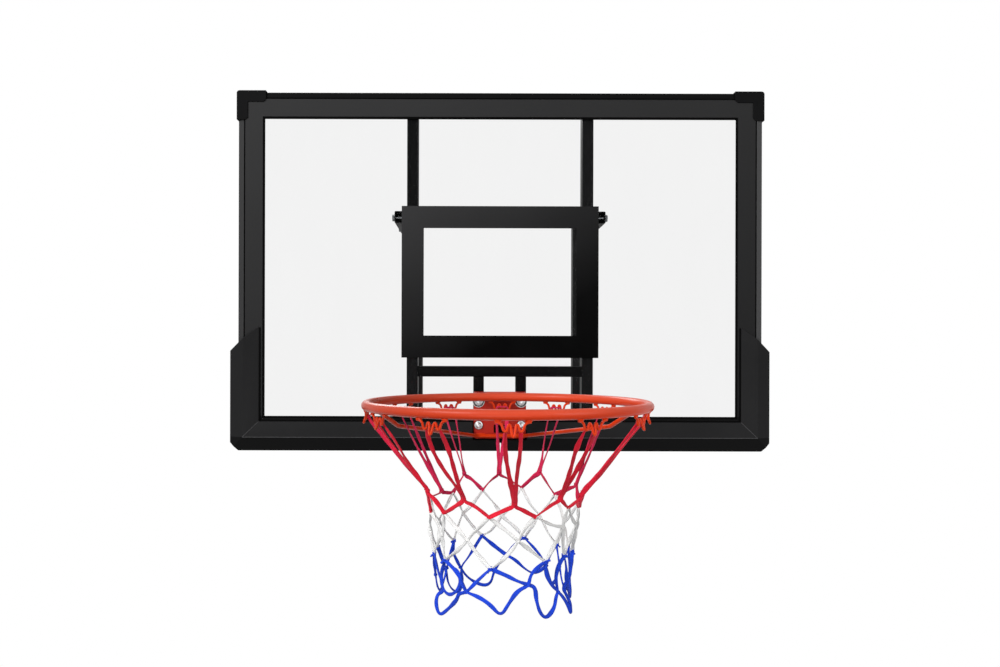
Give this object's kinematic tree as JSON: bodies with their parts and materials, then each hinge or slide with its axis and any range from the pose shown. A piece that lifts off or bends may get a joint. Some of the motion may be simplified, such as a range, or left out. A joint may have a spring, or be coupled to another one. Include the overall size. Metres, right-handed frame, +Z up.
{
  "type": "basketball backboard",
  "caption": "Clear basketball backboard with a target square, padded lower edge, orange rim, red, white and blue net, and a wall mount on swinging parallel arms.",
  "frame": {"origin": "middle of the four wall bolt holes, on the wall plane", "axes": "+X along the board's width, +Y into the wall, +Z up; the board's front faces -Y"},
  "size_m": [1.12, 0.844, 0.9493],
  "materials": {
    "black_steel": "black powder coat",
    "black_trim": "black satin coat",
    "black_moulding": "satin moulded",
    "zinc_steel": "zinc plated",
    "rim_paint": "orange-red paint",
    "clear_sheet": "clear",
    "target_film": "black print",
    "black_rubber": "matt",
    "red_cord": "braided",
    "white_cord": "braided",
    "blue_cord": "braided"
  },
  "bodies": {
    "wall_mount": {"rear_upright_left": "black_steel", "rear_upright_right": "black_steel", "wall_plate_upper_left": "black_steel", "wall_plate_upper_right": "black_steel", "wall_plate_lower_left": "black_steel", "wall_plate_lower_right": "black_steel", "rear_pivot_bolts": "zinc_steel", "rear_pivot_nuts": "zinc_steel", "rear_pivot_washers": "zinc_steel", "rear_tube_plugs": "black_moulding"},
    "upper_arms": {"upper_arm_left": "black_steel", "upper_arm_right": "black_steel"},
    "lower_arms": {"lower_arm_left": "black_steel", "lower_arm_right": "black_steel"},
    "board": {"clear_panel": "clear_sheet", "corner_cap_left": "black_moulding", "corner_cap_right": "black_moulding", "frame_tube_bottom": "black_steel", "frame_tube_left": "black_steel", "frame_tube_right": "black_steel", "frame_tube_top": "black_steel", "front_pivot_bolts": "zinc_steel", "front_pivot_nuts": "zinc_steel", "front_pivot_washers": "zinc_steel", "front_upright_left": "black_steel", "front_upright_right": "black_steel", "guard_pad_left": "black_moulding", "guard_pad_right": "black_moulding", "net_blue": "blue_cord", "net_hooks": "rim_paint", "net_red": "red_cord", "net_white": "white_cord", "panel_bead": "black_rubber", "rim_bolts": "zinc_steel", "rim_brace": "rim_paint", "rim_crossbar": "black_steel", "rim_nuts": "zinc_steel", "rim_plate": "rim_paint", "rim_ring": "rim_paint", "rim_stub_left": "black_steel", "rim_stub_right": "black_steel", "rim_stub_tie": "black_steel", "rim_washers": "zinc_steel", "target_square": "target_film", "trim_bottom": "black_trim", "trim_left": "black_trim", "trim_right": "black_trim", "trim_top": "black_trim"}
  },
  "joints": [
    {"name": "arm_swing", "type": "hinge", "parent": "wall_mount", "child": "upper_arms", "pos_m": [0, -0.024, 0.2125], "axis": [-1, 0, 0], "range_deg": [-35, 35]},
    {"name": "lower_arm_swing", "type": "hinge", "parent": "wall_mount", "child": "lower_arms", "pos_m": [0, -0.024, -0.2125], "axis": [-1, 0, 0], "range_deg": [-35, 35]},
    {"name": "board_level", "type": "hinge", "parent": "upper_arms", "child": "board", "pos_m": [0, -0.2, 0.2125], "axis": [-1, 0, 0], "range_deg": [-35, 35]}
  ],
  "couplings": [
    {"joint": "lower_arm_swing", "follows": "arm_swing", "ratio": 1},
    {"joint": "board_level", "follows": "arm_swing", "ratio": -1}
  ]
}
